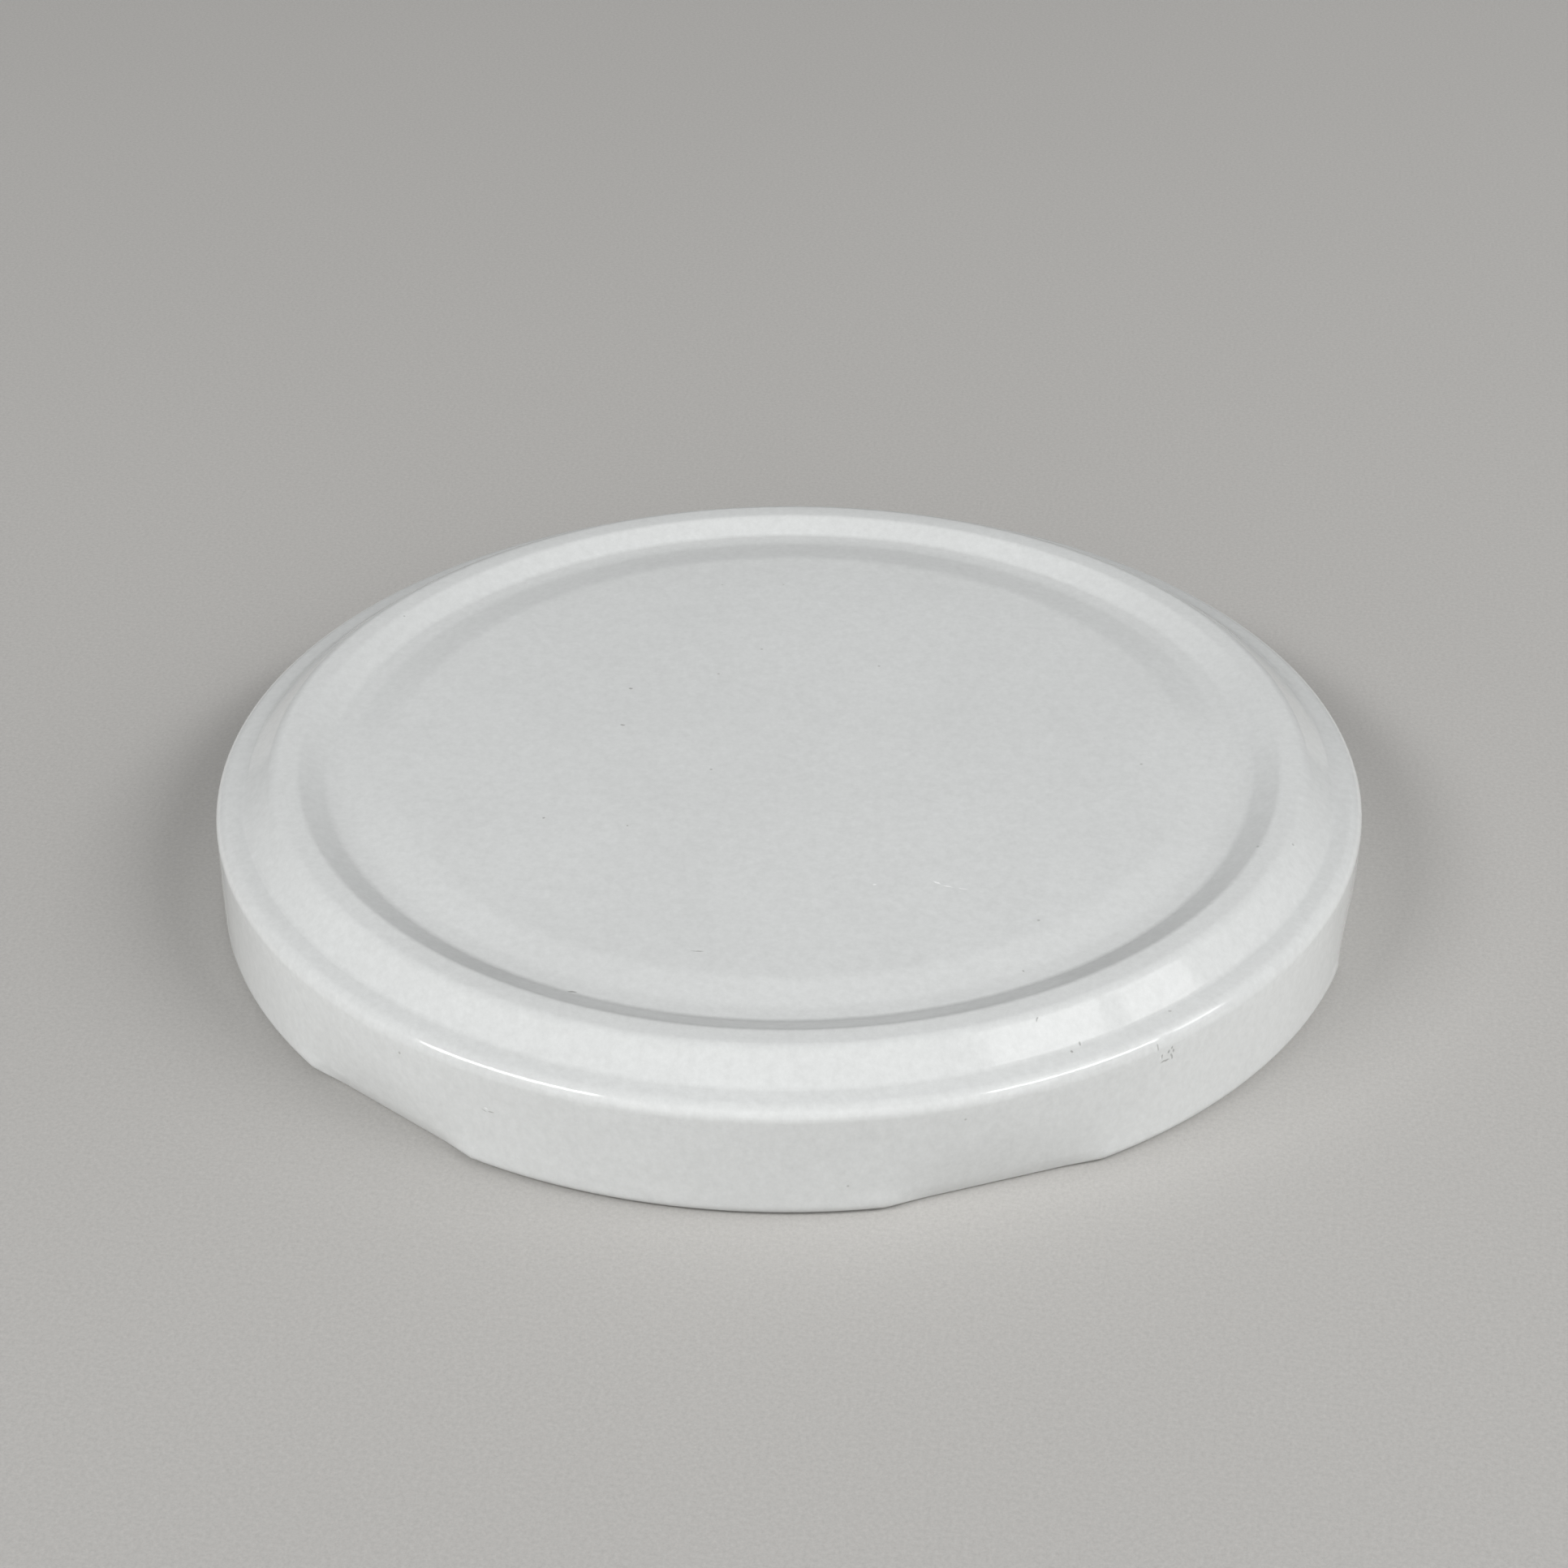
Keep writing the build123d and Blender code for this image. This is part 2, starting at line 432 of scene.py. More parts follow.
def draw_half_sector(top, foot):
    """The sheet's outer face from the middle of a lug to halfway between two lugs."""
    rim = top.diameter / 2
    bends = [
        (top.panel_bend, 4, 0),
        (top.groove_inner_bend, 4, 2),
        (top.groove_outer_bend, 7, 1),
        (top.crest_bend, 7, 2),
        (top.crest_bend, 10, 1),
        (top.shoulder_bend, 9, 1),
        (top.corner_bend, 14, 1),
    ]
    model = start_line("lacquered_shell", panel_edge(top))
    here = draw_profile(panel_edge(top), top_corners(top), bends)
    here = run_to(here, (rim, foot.foot_height + foot.fading_height), steps=2)
    here = run_to(here, (rim, foot.foot_height), PRESSED_ROWS)
    here = run_to(here, (rim, foot.roll_radius))
    here = bend_round(here, (rim - foot.roll_radius, foot.roll_radius), -pi / 2, EDGE_STEPS)
    here = run_to(here, (here.x - foot.roll_flat, 0.0), steps=2)
    here = bend_round(here, (here.x, foot.roll_radius), -pi, FOLD_STEPS)
    run_to(here, (here.x + foot.roll_tail, here.y))

    bpy.ops.mesh.select_all(action="SELECT")
    lug_half = lug_half_angle(top, foot)
    spin_round_lid(LUG_COLUMNS, -lug_half)
    spin_round_lid(PLAIN_COLUMNS, -(pi / foot.lugs - lug_half))
    return model


def find_roll(model, round_line, lug_half):
    """The roll's vertices over half a lug: by their number in its section, and by their angle."""
    mesh = bmesh.from_edit_mesh(model.data)
    rows = {number: [] for number in range(1, len(round_line))}
    columns = {}
    for point in mesh.verts:
        around = atan2(point.co.y, point.co.x)
        if around > lug_half + ANGLE_TOLERANCE:
            continue
        radius = hypot(point.co.x, point.co.y)
        for number, row in rows.items():
            line_radius, line_height = round_line[number]
            if hypot(radius - line_radius, point.co.z - line_height) < PLACE_TOLERANCE:
                row.append(point.index)
                columns.setdefault(round(around, 5), []).append(point.index)
    if any(len(row) != LUG_COLUMNS + 1 for row in rows.values()):
        raise RuntimeError("the rows of the roll weren't all found")
    return rows, columns


def pick_skirt_row(model, height, top, foot):
    """Selects the vertices of the round skirt at this height, as far as the lug reaches."""
    rim = top.diameter / 2
    half_chord = foot.lug_length / 2
    pick_where(
        model,
        lambda point: abs(point.z - height) < PLACE_TOLERANCE
        and abs(point.y) < half_chord + PLACE_TOLERANCE
        and hypot(point.x, point.y) > rim - PLACE_TOLERANCE,
    )


def press_skirt(model, top, foot):
    """Presses the skirt in to the lug's chord at the foot, and less and less in each row above it."""
    reach = lug_reach(top, foot)
    for step in range(PRESSED_ROWS):
        share = step / PRESSED_ROWS
        height = foot.foot_height + foot.fading_height * share
        pick_skirt_row(model, height, top, foot)
        still_round = share * (2 - share)
        bpy.ops.transform.resize(value=(still_round, 1, 1), center_override=(reach, 0, height))


def fold_flat(model, rows, columns, moves, top, foot):
    """Moves the roll's rows to the lug's section: wholly in its flat run, and less towards its end."""
    bpy.ops.object.shape_key_add(from_mix=False)
    bpy.ops.object.shape_key_add(from_mix=False)
    pressed = model.data.shape_keys.key_blocks[-1]
    model.active_shape_key_index = 1
    bpy.ops.object.mode_set(mode="EDIT")
    for number, numbers in rows.items():
        pick_points(model, numbers)
        across, up = moves[number]
        bpy.ops.transform.translate(value=(across, 0, up))
    bpy.ops.object.mode_set(mode="OBJECT")

    half_chord, half_flat = foot.lug_length / 2, foot.lug_flat_length / 2
    fold_group = model.vertex_groups.new(name="pressed flat")
    for around, numbers in columns.items():
        share = (half_chord - top.diameter / 2 * sin(around)) / (half_chord - half_flat)
        share = min(max(share, 0.0), 1.0)
        fold_group.add(numbers, share * share * (3 - 2 * share), "REPLACE")
    pressed.vertex_group = fold_group.name
    pressed.value = 1.0
    bpy.ops.object.shape_key_remove(all=True, apply_mix=True)
    model.vertex_groups.clear()


def press_half_lug(model, top, foot):
    """Presses the skirt in over the lug, moves the roll in with it and folds the roll flat."""
    rim = top.diameter / 2
    reach = lug_reach(top, foot)
    round_line = foot_points(
        rim, foot.foot_height, 0.0, foot.roll_radius, foot.roll_flat, foot.roll_radius, foot.roll_tail
    )
    lug_line = foot_points(
        reach, foot.foot_height, foot.lug_lean, foot.lug_edge, foot.lug_flat, foot.lug_fold, foot.lug_tail
    )
    rows, columns = find_roll(model, round_line, lug_half_angle(top, foot))
    press_skirt(model, top, foot)
    for around, numbers in columns.items():
        pick_points(model, numbers)
        bpy.ops.transform.translate(value=(reach - rim * cos(around), 0, 0))
    bpy.ops.object.mode_set(mode="OBJECT")

    moves = [
        (lug_radius - (round_radius - rim + reach), lug_height - round_height)
        for (lug_radius, lug_height), (round_radius, round_height) in zip(lug_line, round_line)
    ]
    fold_flat(model, rows, columns, moves, top, foot)


def close_round(model, top, foot):
    """Mirrors the half sector, copies it round the axis, joins the seams and fills in the panel."""
    use_modifier(
        model,
        "Other half of the lug",
        "MIRROR",
        use_axis=(False, True, False),
        merge_threshold=MERGE_DISTANCE,
    )
    bpy.ops.object.mode_set(mode="EDIT")
    bpy.ops.mesh.select_all(action="SELECT")
    pitch = 2 * pi / foot.lugs
    spin_round_lid(foot.lugs - 1, pitch * (foot.lugs - 1), copies=True)
    bpy.ops.mesh.select_all(action="SELECT")
    bpy.ops.mesh.remove_doubles(threshold=MERGE_DISTANCE)

    panel_height = top.height - top.panel_drop
    panel_radius = panel_edge(top).x
    pick_where(
        model,
        lambda point: abs(point.z - panel_height) < PLACE_TOLERANCE
        and hypot(point.x, point.y) < panel_radius + PLACE_TOLERANCE,
    )
    bpy.ops.mesh.edge_face_add()
    bpy.ops.mesh.select_all(action="SELECT")
    bpy.ops.mesh.normals_make_consistent(inside=False)


def soften_creases(model, top, foot):
    """Smooths the sheet above the foot, where a lug's press mark fades into the round skirt."""
    pitch = 2 * pi / foot.lugs
    margin = lug_half_angle(top, foot) + CREASE_MARGIN
    deepest = top.diameter / 2 - CREASE_DEPTH
    low = foot.foot_height + PLACE_TOLERANCE
    high = foot.foot_height + foot.fading_height

    def near_a_press_mark(point):
        around = (atan2(point.y, point.x) + pitch / 2) % pitch - pitch / 2
        return abs(around) < margin and low < point.z < high and hypot(point.x, point.y) > deepest

    pick_where(model, near_a_press_mark)
    bpy.ops.mesh.vertices_smooth(factor=0.5, repeat=foot.crease_passes)
    bpy.ops.object.mode_set(mode="OBJECT")


def draw_seal_section(top, seal):
    """The compound's section: along the inside of the sheet, and back in one arc under the crest."""
    corners = top_corners(top)
    crest_inner, crest_outer = corners[4][0], corners[5][0]
    groove, inner_crest, outer_crest, shoulder = inset_corners(corners, top.sheet)[2:6]
    inner_edge = crest_inner - seal.inner_overlap
    outer_edge = crest_outer + seal.outer_overlap

    rise = (inner_crest.y - groove.y) / (inner_crest.x - groove.x)
    start = Vector((inner_edge, groove.y + (inner_edge - groove.x) * rise))
    model = start_line("sealing_compound_ring", start)
    crest_bend = top.crest_bend - top.sheet
    line = [groove, inner_crest, outer_crest, shoulder]
    here = draw_profile(start, line, [(crest_bend, 5, 2), (crest_bend, 8, 2)])
    fall = (outer_crest.y - shoulder.y) / (shoulder.x - outer_crest.x)
    here = run_to(here, (outer_edge, shoulder.y + (shoulder.x - outer_edge) * fall), steps=3)

    outer_foot = Vector((outer_edge, corners[6][1] - seal.outer_drop))
    inner_foot = Vector((inner_edge, corners[3][1] - seal.inner_drop))
    middle = Vector(((crest_inner + crest_outer) / 2, top.height - top.sheet - seal.depth))
    centre = circle_centre(outer_foot, middle, inner_foot)
    here = run_to(here, outer_foot)
    sweep = angle_between(outer_foot - centre, inner_foot - centre)
    here = bend_round(here, centre, sweep, SEAT_STEPS)
    run_to(here, start)
    return model


def is_pattern(value):
    """Whether this is a node's output, and not a plain number or colour."""
    return isinstance(value, bpy.types.NodeSocket)


def shaded(colour, factor):
    """The colour made darker or paler by this factor."""
    return tuple(min(1.0, value * factor) for value in colour)


class ShaderSheet:
    """A material's node tree, with short ways to add and join nodes."""

    def __init__(self, name):
        self.material = bpy.data.materials.new(name)
        self.material.use_nodes = True
        self.tree = self.material.node_tree
        self.surface = self.tree.nodes["Principled BSDF"]
        self.place = self.add("ShaderNodeTexCoord").outputs["Object"]

    def feed(self, socket, value):
        """Joins a pattern to this socket, or sets a plain value on it."""
        if is_pattern(value):
            self.tree.links.new(value, socket)
        else:
            socket.default_value = value

    def add(self, kind, label="", **values):
        """Adds a node and feeds its sockets by name."""
        node = self.tree.nodes.new(kind)
        node.label = label
        for name, value in values.items():
            self.feed(node.inputs[name.replace("_", " ")], value)
        return node

    def dress(self, **values):
        """Feeds the surface's own sockets by name, and returns the material."""
        for name, value in values.items():
            self.feed(self.surface.inputs[name.replace("_", " ")], value)
        return self.material

    def noise(self, label, scale, detail, roughness, stretch=None):
        """A noise pattern on the piece's own coordinates, with this many waves to the metre."""
        node = self.add("ShaderNodeTexNoise", label, Scale=scale, Detail=detail, Roughness=roughness)
        where = self.place
        if stretch:
            mapping = self.add("ShaderNodeMapping", label + " stretch", Vector=where, Scale=stretch)
            where = mapping.outputs["Vector"]
        self.feed(node.inputs["Vector"], where)
        return node.outputs["Fac"]

    def ranged(self, label, value, given, wanted):
        """Maps a value from the given range to the wanted one, and keeps it there."""
        low, high = given
        to_low, to_high = wanted
        node = self.add("ShaderNodeMapRange", label, Value=value, From_Min=low, From_Max=high)
        self.feed(node.inputs["To Min"], to_low)
        self.feed(node.inputs["To Max"], to_high)
        return node.outputs["Result"]

    def math(self, label, operation, first, second):
        """Joins two values, or a value and a number, by this operation."""
        node = self.add("ShaderNodeMath", label)
        node.operation = operation
        self.feed(node.inputs[0], first)
        self.feed(node.inputs[1], second)
        return node.outputs["Value"]

    def vector_math(self, label, operation, result, *values):
        """Joins vectors by this operation, which gives its result as a vector or as a value."""
        node = self.add("ShaderNodeVectorMath", label)
        node.operation = operation
        for socket, value in zip(node.inputs, values):
            self.feed(socket, value)
        return node.outputs[result]

    def blend(self, label, share, first, second):
        """Mixes two colours by a share."""
        node = self.add("ShaderNodeMix", label)
        node.data_type = "RGBA"
        self.feed(node.inputs[MIX_SHARE], share)
        for number, colour in ((MIX_FIRST, first), (MIX_SECOND, second)):
            self.feed(node.inputs[number], colour if is_pattern(colour) else (*colour, 1.0))
        return node.outputs[MIX_RESULT]

    def wobbled(self, label, scale, reach):
        """The piece's own coordinates, pushed about by noise as far as this reach."""
        node = self.add("ShaderNodeTexNoise", label, Vector=self.place, Scale=scale, Detail=1.0)
        double, back = (2 * reach,) * 3, (-reach,) * 3
        push = self.vector_math(
            label + " push", "MULTIPLY_ADD", "Vector", node.outputs["Color"], double, back
        )
        return self.vector_math(label + " moved", "ADD", "Vector", self.place, push)

    def marks(self, label, where, marks):
        """One where any of these small oval marks lies, and nought elsewhere."""
        share = None
        for centre, half_lengths, turned in marks:
            own_frame = self.add(
                "ShaderNodeMapping",
                label,
                Vector=where,
                Location=centre,
                Rotation=(0.0, 0.0, radians(turned)),
                Scale=half_lengths,
            )
            own_frame.vector_type = "TEXTURE"
            span = self.vector_math(label + " span", "LENGTH", "Value", own_frame.outputs["Vector"])
            here = self.ranged(label + " edge", span, (MARK_CORE, 1.0), (1.0, 0.0))
            share = self.math(label, "MAXIMUM", share, here) if share else here
        return share

    def bump(self, label, height, strength, distance, below=None):
        """Turns a height into a bump over the one below it."""
        node = self.add("ShaderNodeBump", label, Height=height, Strength=strength, Distance=distance)
        if below:
            self.feed(node.inputs["Normal"], below)
        return node.outputs["Normal"]


def lacquer_material(finish):
    """Glossy white enamel: orange peel, a fine grain, faint patches, specks, scratches, stuck lint and
    painted shade in dents.
    """
    sheet = ShaderSheet("white_enamel")
    patches = sheet.noise("Patches", scale=60.0, detail=3.0, roughness=0.6)
    grain = sheet.noise("Grain", scale=1500.0, detail=4.0, roughness=0.8)
    tone = sheet.ranged("Patch range", patches, (0.35, 0.65), (0.0, 1.0))
    colour = sheet.blend("Enamel tone", tone, finish.lacquer_shade, finish.lacquer)
    grain_share = sheet.ranged("Grain range", grain, (0.3, 0.8), (0.0, 0.36))
    colour = sheet.blend("Grain tone", grain_share, colour, finish.grain)

    specks = sheet.add("ShaderNodeTexVoronoi", "Specks", Vector=sheet.place, Scale=420.0, Randomness=1.0)
    near = sheet.ranged("Speck size", specks.outputs["Distance"], (0.03, 0.055), (1.0, 0.0))
    cells = sheet.add("ShaderNodeSeparateColor", "Which cells", Color=specks.outputs["Color"])
    rare = sheet.ranged("Rare cells", cells.outputs["Red"], (0.80, 0.81), (0.0, 0.45))
    dust = sheet.math("Dust", "MULTIPLY", near, rare)

    wobble = sheet.wobbled("Wobble", scale=1500.0, reach=0.00022)
    # Dark marks: dirt and lint, and painted shade standing in for dents
    dirt = sheet.marks("Dirt", wobble, DIRT_AND_DENT_SHADE_MARKS)
    dark = sheet.math("Dark marks", "MULTIPLY", dirt, 0.6)
    dark = sheet.math("Dust and marks", "MAXIMUM", dark, dust)
    colour = sheet.blend("Dust, dirt and dent shade", dark, colour, finish.dust)
    pale = sheet.marks("Pale scratches", wobble, PALE_MARKS)
    pale_share = sheet.math("Pale share", "MULTIPLY", pale, 0.7)
    colour = sheet.blend("Scratched enamel", pale_share, colour, finish.scratch)

    smooth, rough = finish.lacquer_roughness, finish.lacquer_roughness + 0.08
    roughness = sheet.ranged("Gloss change", grain, (0.3, 0.7), (smooth, rough))
    peel = sheet.noise("Orange peel", scale=950.0, detail=2.0, roughness=0.5)
    glossy_top = sheet.bump("Peel bump", peel, strength=0.35, distance=0.000012)
    normal = sheet.bump("Grain bump", grain, strength=0.25, distance=0.000006, below=glossy_top)
    normal = sheet.bump("Dirt bump", dark, strength=0.6, distance=0.00003, below=normal)
    normal = sheet.bump("Scratch bump", pale, strength=0.5, distance=-0.00002, below=normal)
    return sheet.dress(
        Base_Color=colour,
        Roughness=roughness,
        Normal=normal,
        Coat_Normal=glossy_top,
        Coat_Weight=1.0,
        Coat_Roughness=finish.coat_roughness,
        Specular_IOR_Level=0.15,
    )


def inside_material(finish):
    """Satin lacquer on the inside of the lid, with faint patches and a fine grain."""
    sheet = ShaderSheet("inside_lacquer")
    patches = sheet.noise("Patches", scale=90.0, detail=3.0, roughness=0.6)
    tone = sheet.ranged("Patch range", patches, (0.35, 0.65), (0.0, 1.0))
    colour = sheet.blend("Lacquer tone", tone, finish.inside, shaded(finish.inside, 1.05))
    grain = sheet.noise("Grain", scale=4200.0, detail=2.0, roughness=0.65)
    grain_share = sheet.ranged("Grain range", grain, (0.4, 0.8), (0.0, 0.15))
    colour = sheet.blend("Grain tone", grain_share, colour, shaded(finish.inside, 0.8))
    roughness = sheet.ranged("Gloss change", patches, (0.3, 0.7), (0.32, 0.42))
    normal = sheet.bump("Patch bump", patches, strength=0.2, distance=0.00003)
    normal = sheet.bump("Grain bump", grain, strength=0.3, distance=0.000005, below=normal)
    return sheet.dress(Base_Color=colour, Roughness=roughness, Normal=normal)


def cut_edge_material(finish):
    """Bare sheared steel at the end of the sheet."""
    sheet = ShaderSheet("cut_steel")
    shear = sheet.noise("Shear marks", scale=2600.0, detail=3.0, roughness=0.6, stretch=(1.0, 1.0, 6.0))
    tone = sheet.ranged("Shear range", shear, (0.3, 0.7), (0.0, 1.0))
    colour = sheet.blend("Steel tone", tone, shaded(finish.cut_steel, 0.7), finish.cut_steel)
    roughness = sheet.ranged("Steel gloss", shear, (0.3, 0.7), (0.3, 0.5))
    normal = sheet.bump("Shear bump", shear, strength=0.4, distance=0.00001)
    return sheet.dress(Base_Color=colour, Roughness=roughness, Normal=normal, Metallic=1.0)


def compound_material(finish):
    """Soft flowed compound: a satin skin with slow waves and fine pits."""
    sheet = ShaderSheet("flowed_compound")
    flow = sheet.noise("Flow", scale=120.0, detail=3.0, roughness=0.55)
    pits = sheet.noise("Pits", scale=3400.0, detail=2.0, roughness=0.6)
    tone = sheet.ranged("Flow range", flow, (0.35, 0.65), (0.0, 1.0))
    colour = sheet.blend("Compound tone", tone, shaded(finish.compound, 0.93), finish.compound)
    pit_share = sheet.ranged("Pit range", pits, (0.55, 0.8), (0.0, 0.3))
    colour = sheet.blend("Pit tone", pit_share, colour, shaded(finish.compound, 0.8))
    roughness = sheet.ranged("Skin gloss", flow, (0.3, 0.7), (0.42, 0.55))
    normal = sheet.bump("Flow bump", flow, strength=0.5, distance=0.0001)
    normal = sheet.bump("Pit bump", pits, strength=0.3, distance=0.000012, below=normal)
    return sheet.dress(
        Base_Color=colour,
        Roughness=roughness,
        Normal=normal,
        Subsurface_Weight=0.08,
        Subsurface_Radius=(0.0008, 0.0006, 0.0004),
    )


def floor_material(stage):
    """Plain pale board with a fine grain."""
    sheet = ShaderSheet("pale_floor")
    patches = sheet.noise("Patches", scale=14.0, detail=2.0, roughness=0.5)
    grain = sheet.noise("Grain", scale=3200.0, detail=3.0, roughness=0.85)
    tone = sheet.ranged("Patch range", patches, (0.3, 0.7), (0.0, 1.0))
    colour = sheet.blend("Floor tone", tone, shaded(stage.floor, 0.985), stage.floor)
    grain_share = sheet.ranged("Grain range", grain, (0.3, 0.8), (0.0, 0.5))
    colour = sheet.blend("Grain tone", grain_share, colour, shaded(stage.floor, 0.55))
    normal = sheet.bump("Grain bump", grain, strength=0.25, distance=0.00001)
    return sheet.dress(Base_Color=colour, Roughness=0.65, Normal=normal)


class LID_OT_shell(bpy.types.Operator):
    """Draws the lid's section, spins it, presses the lugs and gives the sheet its thickness"""

    bl_idname = "lid.shell"
    bl_label = "Lacquered shell"

    def execute(self, context):
        top, foot = context.scene.lid_top, context.scene.lid_foot
        model = draw_half_sector(top, foot)
        press_half_lug(model, top, foot)
        close_round(model, top, foot)
        soften_creases(model, top, foot)
        finish = context.scene.lid_finish
        for material in (lacquer_material(finish), inside_material(finish), cut_edge_material(finish)):
            model.data.materials.append(material)
        use_modifier(
            model,
            "Sheet",
            "SOLIDIFY",
            thickness=top.sheet,
            offset=-1.0,
            use_even_offset=True,
            use_quality_normals=True,
            material_offset=1,
            material_offset_rim=2,
        )
        bpy.ops.object.shade_smooth_by_angle(angle=SMOOTH_ANGLE)
        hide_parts("lid_shell")
        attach(model, "root")
        return {"FINISHED"}


class LID_OT_sealing_ring(bpy.types.Operator):
    """Draws the compound's section against the inside of the sheet and spins it into a ring"""

    bl_idname = "lid.sealing_ring"
    bl_label = "Sealing ring"

    def execute(self, context):
        top, seal = context.scene.lid_top, context.scene.lid_seal
        model = draw_seal_section(top, seal)
        bpy.ops.mesh.select_all(action="SELECT")
        spin_round_lid(RING_COLUMNS, 2 * pi)
        bpy.ops.mesh.select_all(action="SELECT")
        bpy.ops.mesh.remove_doubles(threshold=MERGE_DISTANCE)
        bpy.ops.mesh.normals_make_consistent(inside=False)
        bpy.ops.object.mode_set(mode="OBJECT")
        model.data.materials.append(compound_material(context.scene.lid_finish))
        use_modifier(
            model,
            "Soft edges",
            "BEVEL",
            width=seal.edge_round,
            segments=3,
            limit_method="ANGLE",
            angle_limit=SMOOTH_ANGLE,
        )
        bpy.ops.object.shade_smooth_by_angle(angle=SMOOTH_ANGLE)
        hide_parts("sealing_ring")
        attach(model, "root")
        return {"FINISHED"}


def lay_floor(stage):
    """Lays the pale floor just under the foot."""
    clear_selection()
    bpy.ops.mesh.primitive_plane_add(size=FLOOR_SIZE, location=(0, 0, -FLOOR_DROP))
    floor = bpy.context.object
    floor.name = "floor"
    bpy.ops.object.transform_apply(location=True, rotation=True, scale=True)
    floor.data.materials.append(floor_material(stage))


def add_softbox(name, azimuth, elevation, distance, size, power, tilt=0.0):
    """A rectangular lamp that faces the lid, tilted about its own axis.

    Its azimuth in degrees is nought on the camera's side and grows to the right.
    """
    stage = bpy.context.scene.lid_stage
    around = atan2(stage.camera_place[1], stage.camera_place[0]) + radians(azimuth)
    up = radians(elevation)
    spot = Vector((cos(around) * cos(up), sin(around) * cos(up), sin(up))) * distance
    clear_selection()
    turned = (-spot).to_track_quat("-Z", "Y") @ Quaternion((0, 0, 1), radians(tilt))
    bpy.ops.object.light_add(type="AREA", location=spot, rotation=turned.to_euler())
    lamp = bpy.context.object
    lamp.name = name
    lamp.data.shape = "RECTANGLE"
    lamp.data.size, lamp.data.size_y = size
    lamp.data.energy = power
    return lamp


def hang_lamps(pieces):
    """Hangs wide lamps for the light, strips and panes for the gloss, and two low lamps for the skirt.

    The low lamps light these pieces alone, so that the floor keeps its shadow.
    """
    # Azimuth, elevation, distance, size and power, and for the strips and panes their tilt
    add_softbox("wide front lamp", 0, 30, 2.2, (4.4, 2.2), 29.5)
    add_softbox("wide back lamp", 180, 50, 2.0, (3.0, 1.6), 2.0)
    side_lamp = add_softbox("wide right lamp", 85, 24, 1.4, (1.6, 0.7), 5.8)
    side_lamp.visible_glossy = False
    add_softbox("left strip", -59.6, 41, 1.2, (0.62, 0.27), 5.6, 25)
    add_softbox("right strip", 62, 44, 1.2, (0.58, 0.20), 3.9, -25)
    add_softbox("short right strip", 87.3, 35, 1.2, (0.20, 0.20), 0.75, -25)
    add_softbox("near window pane", 71, 56, 1.2, (0.36, 0.30), 0.65, -32)
    add_softbox("far window pane", 93.5, 45.5, 1.2, (0.26, 0.30), 0.42, -38)

    lit_alone = bpy.data.collections.new("lit by the low lamps")
    for piece in pieces:
        lit_alone.objects.link(piece)
    for name, azimuth, power in (("low left lamp", -80, 6.9), ("low right lamp", 80, 3.0)):
        lamp = add_softbox(name, azimuth, 20, 1.3, (0.6, 0.4), power)
        lamp.visible_glossy = False
        lamp.light_linking.receiver_collection = lit_alone


def light_the_room(scene):
    """Gives the room round the stage a faint even light."""
    world = bpy.data.worlds.new("studio")
    scene.world = world
    world.use_nodes = True
    sky = world.node_tree.nodes["Background"]
    sky.inputs["Color"].default_value = SKY_COLOUR
    sky.inputs["Strength"].default_value = SKY_STRENGTH


def stand_camera(scene, stage):
    """Stands the camera at its place, and turns it to its aim."""
    spot, aim = Vector(stage.camera_place), Vector(stage.camera_aim)
    clear_selection()
    bpy.ops.object.camera_add(location=spot)
    camera = bpy.context.object
    camera.rotation_mode = "QUATERNION"
    level = (aim - spot).to_track_quat("-Z", "Y")
    camera.rotation_quaternion = level @ Quaternion((0, 0, 1), stage.camera_roll)
    camera.rotation_mode = "XYZ"
    camera.data.lens = stage.lens
    camera.data.sensor_width = SENSOR_WIDTH
    camera.data.clip_start = NEAREST_VIEW
    scene.camera = camera


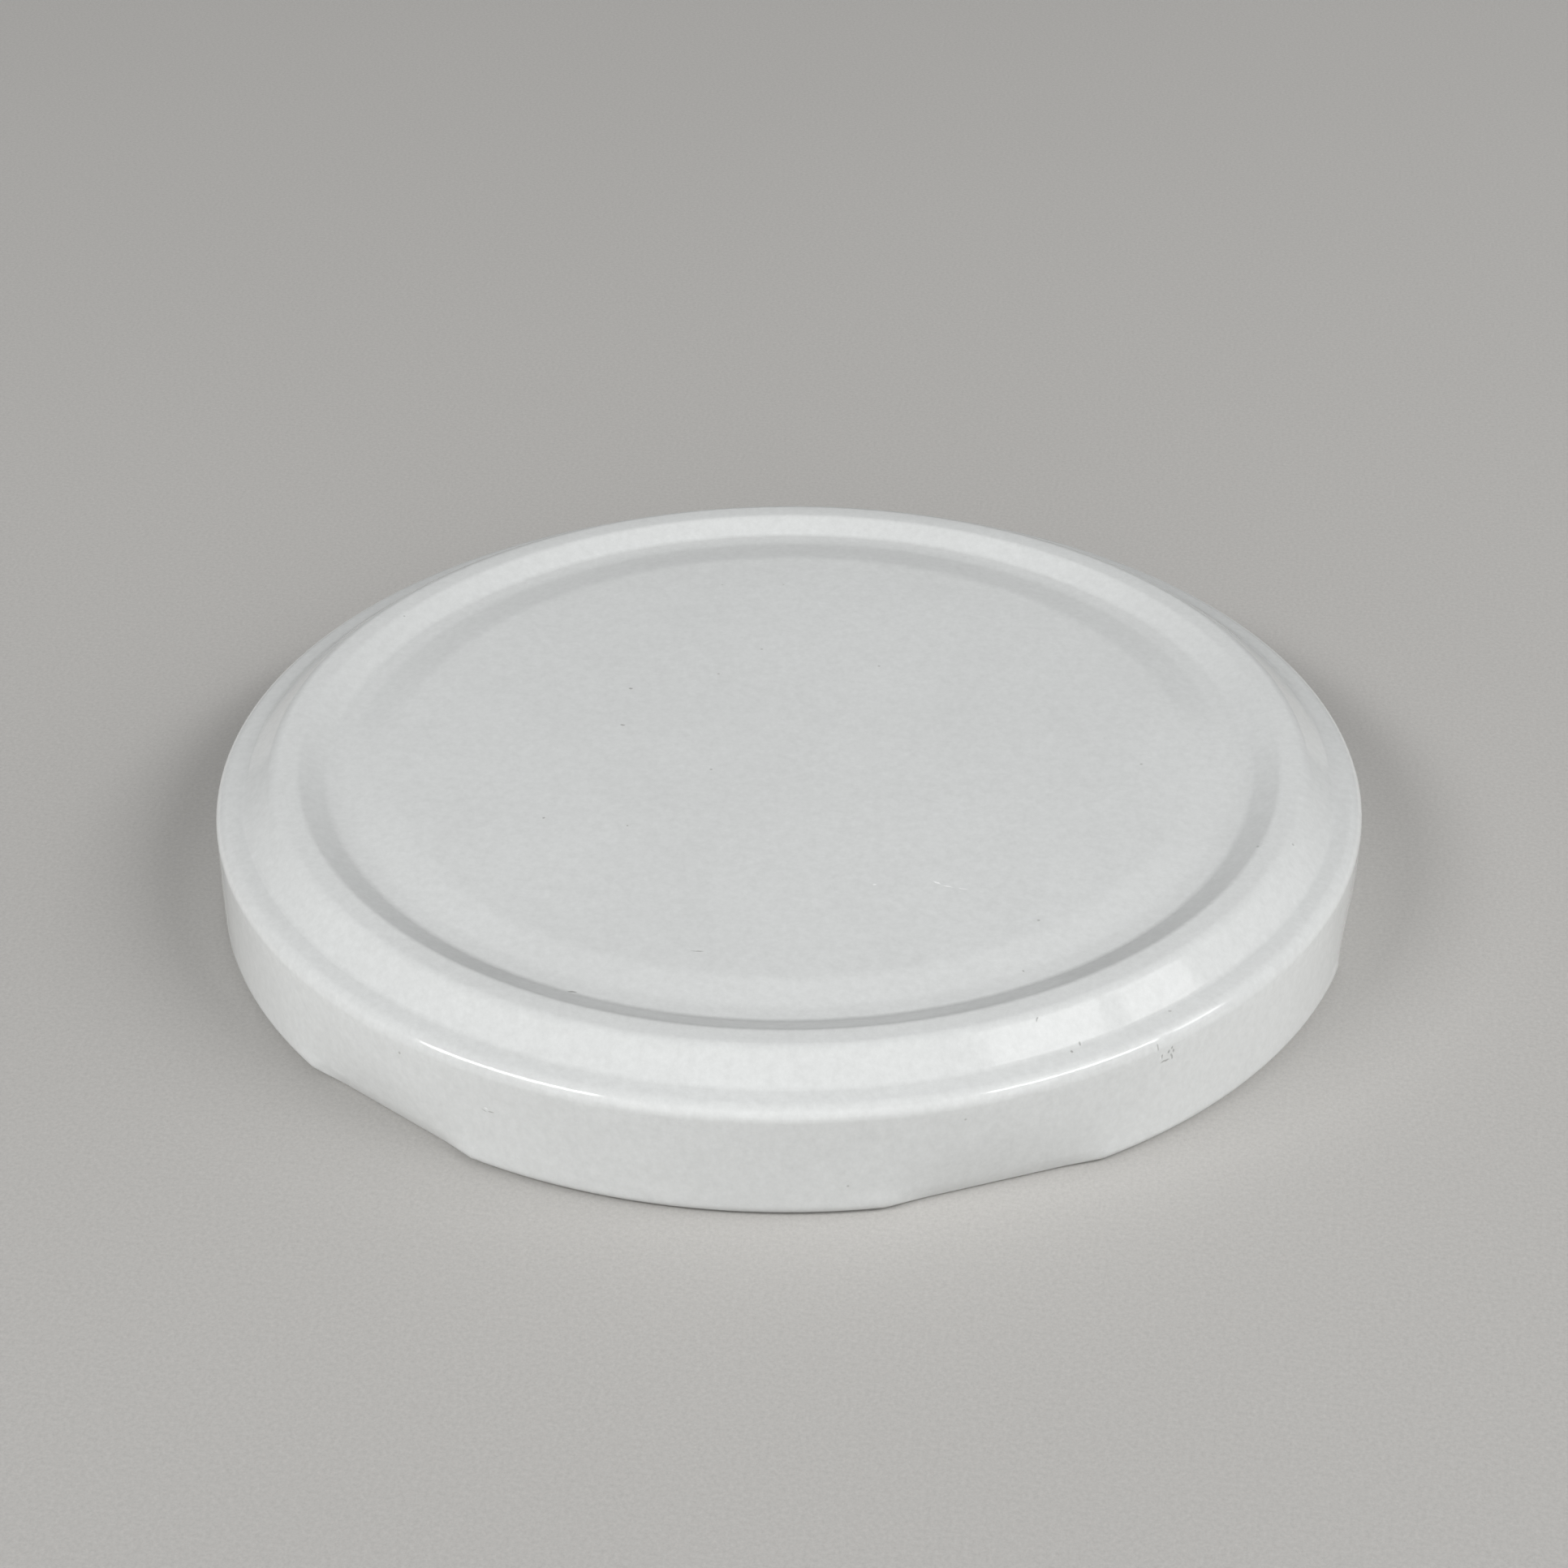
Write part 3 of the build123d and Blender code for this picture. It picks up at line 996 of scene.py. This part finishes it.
class LID_OT_stage(bpy.types.Operator):
    """Lays the floor, hangs the lamps and sets up the camera"""

    bl_idname = "lid.stage"
    bl_label = "Stage"

    def execute(self, context):
        scene = context.scene
        pieces = [piece for piece in scene.objects if piece.type == "MESH"]
        lay_floor(scene.lid_stage)
        hang_lamps(pieces)
        light_the_room(scene)
        stand_camera(scene, scene.lid_stage)
        scene.view_settings.view_transform = "Standard"
        return {"FINISHED"}


class LID_PT_panel(bpy.types.Panel):
    """The lid's pieces and sizes"""

    bl_idname = "LID_PT_panel"
    bl_label = "Twist-off lid"
    bl_space_type = "VIEW_3D"
    bl_region_type = "UI"
    bl_category = "Lid"

    def draw(self, context):
        for title, group, operator in (
            ("Top", context.scene.lid_top, None),
            ("Foot and lugs", context.scene.lid_foot, "lid.shell"),
            ("Seal", context.scene.lid_seal, "lid.sealing_ring"),
            ("Finish", context.scene.lid_finish, None),
            ("Stage", context.scene.lid_stage, "lid.stage"),
        ):
            box = self.layout.box()
            box.label(text=title)
            for name in group.bl_rna.properties.keys():
                if name not in ("rna_type", "name"):
                    box.prop(group, name)
            if operator:
                box.operator(operator)


CLASSES = (
    LidTopSizes,
    LidFootSizes,
    LidSealSizes,
    LidFinish,
    LidStage,
    LID_OT_shell,
    LID_OT_sealing_ring,
    LID_OT_stage,
    LID_PT_panel,
)
GROUPS = {
    "lid_top": LidTopSizes,
    "lid_foot": LidFootSizes,
    "lid_seal": LidSealSizes,
    "lid_finish": LidFinish,
    "lid_stage": LidStage,
}


def register():
    """Adds the classes, and the sizes to the scene."""
    for part in CLASSES:
        bpy.utils.register_class(part)
    for name, group in GROUPS.items():
        setattr(bpy.types.Scene, name, PointerProperty(type=group))


def unregister():
    """Takes away what register added."""
    for name in GROUPS:
        delattr(bpy.types.Scene, name)
    for part in reversed(CLASSES):
        bpy.utils.unregister_class(part)


def main():
    """Makes the whole lid and its stage."""
    register()
    bpy.ops.lid.shell()
    bpy.ops.lid.sealing_ring()
    bpy.ops.lid.stage()


if __name__ == "__main__":
    main()
